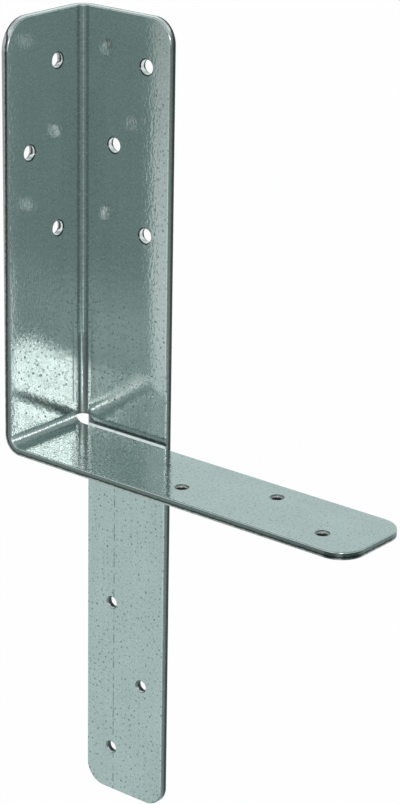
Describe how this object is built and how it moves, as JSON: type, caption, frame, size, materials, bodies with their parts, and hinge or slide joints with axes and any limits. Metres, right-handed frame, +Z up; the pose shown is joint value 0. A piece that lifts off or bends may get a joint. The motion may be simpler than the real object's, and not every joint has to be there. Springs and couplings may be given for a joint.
{
  "type": "purlin cleat",
  "caption": "Folded galvanised sheet cleat: an upright angle with a foot folded forward and a flat tail below, punched for nails, that ties a purlin to the timber it crosses",
  "frame": {"origin": "The inside corner where the planes of the left flange's face, the back flange's face and the foot's top meet.", "axes": "X runs along the foot, away from the left flange. Y points away from the timbers, through the back flange. Z runs up the angle, with the tail hanging down."},
  "size_m": [0.14, 0.038, 0.28],
  "materials": {
    "galvanised_sheet": "hot-dip galvanised, semi-gloss with fine pits"
  },
  "bodies": {
    "root": {"folded_cleat": "galvanised_sheet"}
  },
  "joints": []
}
